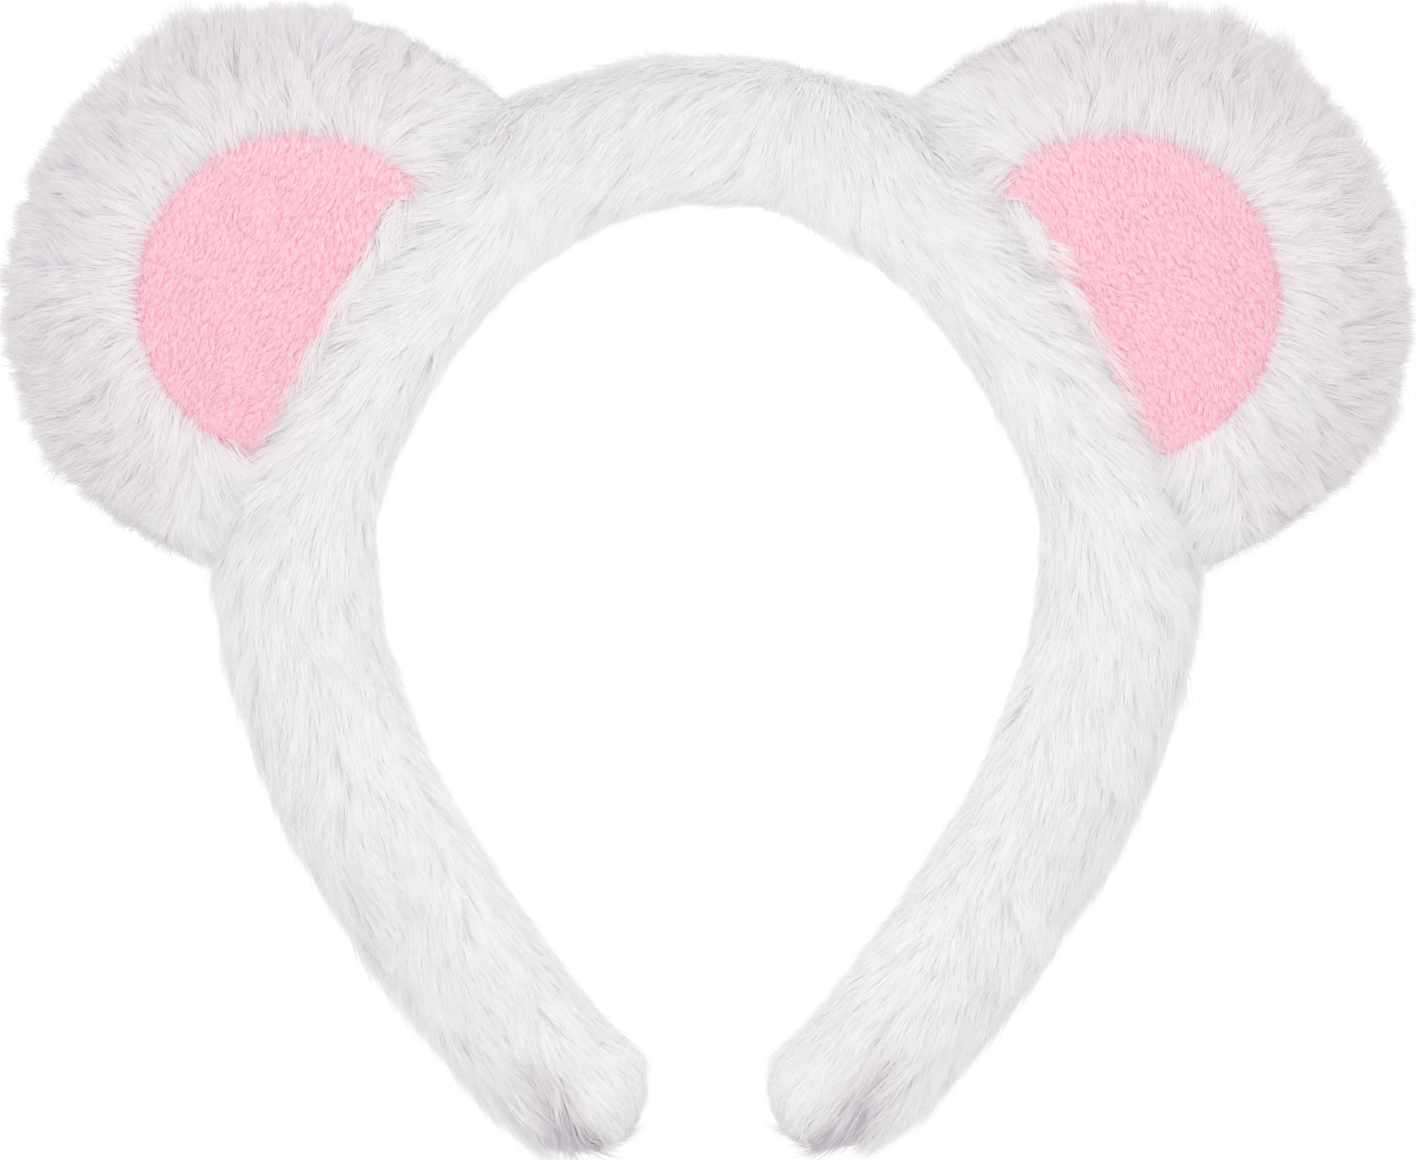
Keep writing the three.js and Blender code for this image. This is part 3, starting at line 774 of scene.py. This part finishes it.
def add_band(side, rng):
    skin = band_surface()
    cap = np.arange(skin.around)[None, ::-1]
    groups = [turned(skin.faces, side), turned(cap, side)]
    name = f"fur_cover_backing_{side}"
    backing = mesh_object(name, mirrored(skin.vertices, side), groups, FUR_GROUND)
    inner = ease(-facing_out(skin), *FACES_IN)
    outer = ease(facing_out(skin), *FACES_OUT)
    upper_arm = within(skin.distance, *UPPER_ARM)
    near_tip = ease(skin.distance, *NEAR_TIP)
    length = BAND_HAIR - BAND_HAIR_LESS_INSIDE * inner - BAND_HAIR_LESS_AT_TIP * near_tip
    rise = BAND_RISE + RISE_MORE_INSIDE * inner + RISE_MORE_AT_TIP * near_tip
    rise += RISE_MORE_BESIDE_EAR * beside_ear(skin)
    rise += RISE_MORE_ON_SHOULDER * outer * within(skin.distance, *SHOULDER)
    rise += upper_arm * (RISE_MORE_INSIDE_ARM * inner - RISE_LESS_OUTSIDE_ARM * outer)
    uneven = BAND_UNEVEN - UNEVEN_LESS_INSIDE * inner * ease(skin.distance, *SMOOTH_INSIDE)
    uneven += UNEVEN_MORE_OUTSIDE * outer * ease(skin.distance, *RAGGED_OUTSIDE)
    # the painted shade along the fold on the tip's front
    crease_painted_shade = crease(skin.vertices)[1]
    hair = grow(
        skin,
        rng,
        density=BAND_STRANDS,
        spacing=BAND_LOCKS,
        comb=band_comb(skin, side),
        keep=1 - under_ear(skin),
        length=length,
        rise=rise,
        lean=np.full(len(length), BAND_LEAN),
        width=FUR_WIDTH,
        pull=BAND_PULL,
        swirl=BAND_SWIRL,
        uneven=uneven,
        hug=BAND_HUG * (1 - beside_ear(skin)),
        # painted shade: darker along the tip's fold and on the outside of the tip
        shade=1 - np.maximum(crease_painted_shade, TIP_PAINTED_SHADE * near_tip * outer),
    )
    from_point, to_point = (arch(np.array([at]))[0][0] for at in (FLEX_FROM, FLEX_TO))
    for piece in (backing, *strand_pieces("fur_cover_pile", hair, side, FUR)):
        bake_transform(piece)
        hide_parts("fur_cover_crown", f"fur_cover_{side}")


# ---------------------------------------------------------------- the ears


def add_ear(side, rng):
    skin = ear_surface()
    name = f"ear_fur_backing_{side}"
    backing = mesh_object(name, mirrored(skin.vertices, side), [turned(skin.faces, side)], FUR_GROUND)
    front = skin.vertices[:, 1] < 0
    ring = ease(skin.radius, *RING_EDGE)
    beside_panel = front * (1 - ease(skin.radius, *PANEL_SIDE_RADIUS))
    beside_panel *= 1 - ease(skin.over_base, *PANEL_SIDE_HEIGHT)
    strip = 1 - ease(skin.over_base - skin.cover, *STRIP_EDGE)
    near_base = 1 - ease(skin.over_base, *BASE_HEIGHT)
    keep = ease(skin.over_base, 0, FUR_FROM_HEIGHT) * np.where(front, np.maximum(ring, strip), 1)
    rim = ease(skin.radius, RIM_FROM, EAR_RADIUS)
    comb = unit(skin.radial) - COMB_TO_BAND * skin.outward * near_base[:, None]
    comb *= (1 - beside_panel)[:, None]
    comb += COMB_ALONG_PANEL * skin.along * beside_panel[:, None]
    tuft = ease(unit(skin.radial) @ EAR_TUFT_WAY, *TUFT_SPREAD)
    below = ease(unit(skin.radial) @ EAR_LOW_WAY, *BELOW_SPREAD)
    longer = EAR_HAIR_MORE_IN_TUFT * tuft + EAR_HAIR_MORE_BELOW * below
    length = EAR_HAIR + (longer - EAR_HAIR_LESS_AT_RIM) * rim
    # painted shade on the ear's fur: darker outwards, and fading out near the band
    painted_shade = EAR_PAINTED_SHADE + EAR_PAINTED_SHADE_MORE_OUTWARDS * ease(skin.radius, *PAINTED_SHADE_RADIUS)
    hair = grow(
        skin,
        rng,
        density=EAR_STRANDS,
        spacing=EAR_LOCKS,
        comb=comb,
        keep=keep,
        length=length,
        rise=np.full(len(rim), EAR_RISE),
        lean=EAR_LEAN - EAR_LEAN_LESS_AT_RIM * rim,
        width=FUR_WIDTH,
        pull=EAR_PULL,
        swirl=EAR_SWIRL,
        uneven=EAR_UNEVEN + EAR_UNEVEN_MORE_AT_RIM * rim,
        hug=EAR_HUG * (1 - rim),
        shade=1 - painted_shade * ease(skin.over_base, *PAINTED_SHADE_HEIGHT),
    )
    for piece in (backing, *strand_pieces("ear_fur_pile", hair, side, FUR)):
        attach(piece, f"ear_{side}")
        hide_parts(f"ear_back_fur_{side}", f"ear_front_fur_{side}")


def add_inner_panel(side, rng):
    skin = panel_surface()
    name = f"ear_inner_panel_backing_{side}"
    backing = mesh_object(name, mirrored(skin.vertices, side), [turned(skin.faces, side)], PLUSH_GROUND)
    plain = np.ones(len(skin.vertices))
    hair = grow(
        skin,
        rng,
        density=PANEL_STRANDS,
        spacing=PANEL_LOCKS,
        comb=np.tile(CHORD, (len(plain), 1)),
        keep=(skin.over_base > 0) * (skin.normals[:, 1] < -0.2).astype(float),
        length=plain * PANEL_HAIR,
        rise=plain * PANEL_RISE,
        lean=plain * PANEL_LEAN,
        width=PLUSH_WIDTH,
        pull=PANEL_PULL,
        swirl=PANEL_SWIRL,
        uneven=plain * PANEL_UNEVEN,
        hug=plain,
    )
    for piece in (backing, *strand_pieces("ear_inner_panel_pile", hair, side, PLUSH)):
        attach(piece, f"ear_{side}")
        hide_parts(f"ear_inner_panel_{side}")


# ---------------------------------------------------------------- CAD pieces that stay


def dress_cad_nodes():
    looks = {"core": CORE, "padding": WADDING, "ear_filling": WADDING}
    for name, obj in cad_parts.items():
        kind = name.rsplit("_", 1)[0]
        for place in obj.material_slots:
            place.link = "OBJECT"
            place.material = looks.get(kind, THREAD)


# ---------------------------------------------------------------- camera and light


def add_camera():
    data = bpy.data.cameras.new("camera")
    camera = bpy.data.objects.new("camera", data)
    bpy.context.scene.collection.objects.link(camera)
    bpy.context.scene.camera = camera
    data.sensor_fit = "HORIZONTAL"
    data.lens = data.sensor_width * CAMERA_AWAY / PICTURE_WIDTH
    camera.location = (0, -CAMERA_AWAY, CAMERA_HEIGHT)
    camera.rotation_euler = (math.pi / 2, 0, 0)


def add_light(name, kind, place, aim, power, size):
    data = bpy.data.lights.new(name, kind)
    data.energy = power
    if kind == "AREA":
        data.shape = "DISK"
        data.size = size
    else:
        data.shadow_soft_size = size
    light = bpy.data.objects.new(name, data)
    bpy.context.scene.collection.objects.link(light)
    light.location = place
    light.rotation_euler = (Vector(aim) - Vector(place)).to_track_quat("-Z", "Y").to_euler()
    light.visible_camera = False


def add_lighting():
    """A white room that is brighter in front and above, a soft light in front and one inside the arch."""
    world = bpy.data.worlds.new("white_room")
    bpy.context.scene.world = world
    world.use_nodes = True
    nodes, links = world.node_tree.nodes, world.node_tree.links
    room = nodes["Background"]
    room.inputs["Strength"].default_value = 1.0
    place = nodes.new("ShaderNodeTexCoord")
    toward = nodes.new("ShaderNodeVectorMath")
    toward.operation = "DOT_PRODUCT"
    toward.inputs[1].default_value = ROOM_AWAY
    depth = nodes.new("ShaderNodeMapRange")
    depth.inputs["From Min"].default_value = -1
    depth.inputs["From Max"].default_value = 1
    wall = ramp(nodes, [(0.0, ROOM_FRONT), (1.0, ROOM_BACK)])
    links.new(place.outputs["Generated"], toward.inputs[0])
    links.new(toward.outputs["Value"], depth.inputs["Value"])
    links.new(depth.outputs["Result"], wall.inputs["Fac"])
    links.new(wall.outputs["Color"], room.inputs["Color"])
    seen = nodes.new("ShaderNodeBackground")
    seen.inputs["Color"].default_value = (1, 1, 1, 1)
    path = nodes.new("ShaderNodeLightPath")
    mix = nodes.new("ShaderNodeMixShader")
    links.new(path.outputs["Is Camera Ray"], mix.inputs["Fac"])
    links.new(room.outputs["Background"], mix.inputs[1])
    links.new(seen.outputs["Background"], mix.inputs[2])
    links.new(mix.outputs["Shader"], nodes["World Output"].inputs["Surface"])
    add_light("front_light", "AREA", **FRONT_LIGHT)
    add_light("inner_light", "POINT", **INNER_LIGHT)
    bpy.context.scene.view_settings.view_transform = "Standard"
    bpy.context.scene.cycles.diffuse_bounces = DIFFUSE_BOUNCES
    bpy.context.scene.cycles.max_bounces = ALL_BOUNCES
    bpy.context.scene.cycles.transmission_bounces = ALL_BOUNCES


def main():
    add_camera()
    add_lighting()
    for number, side in enumerate(SIDES):
        add_band(side, np.random.default_rng(100 + number))
        add_ear(side, np.random.default_rng(200 + number))
        add_inner_panel(side, np.random.default_rng(300 + number))
    dress_cad_nodes()


main()
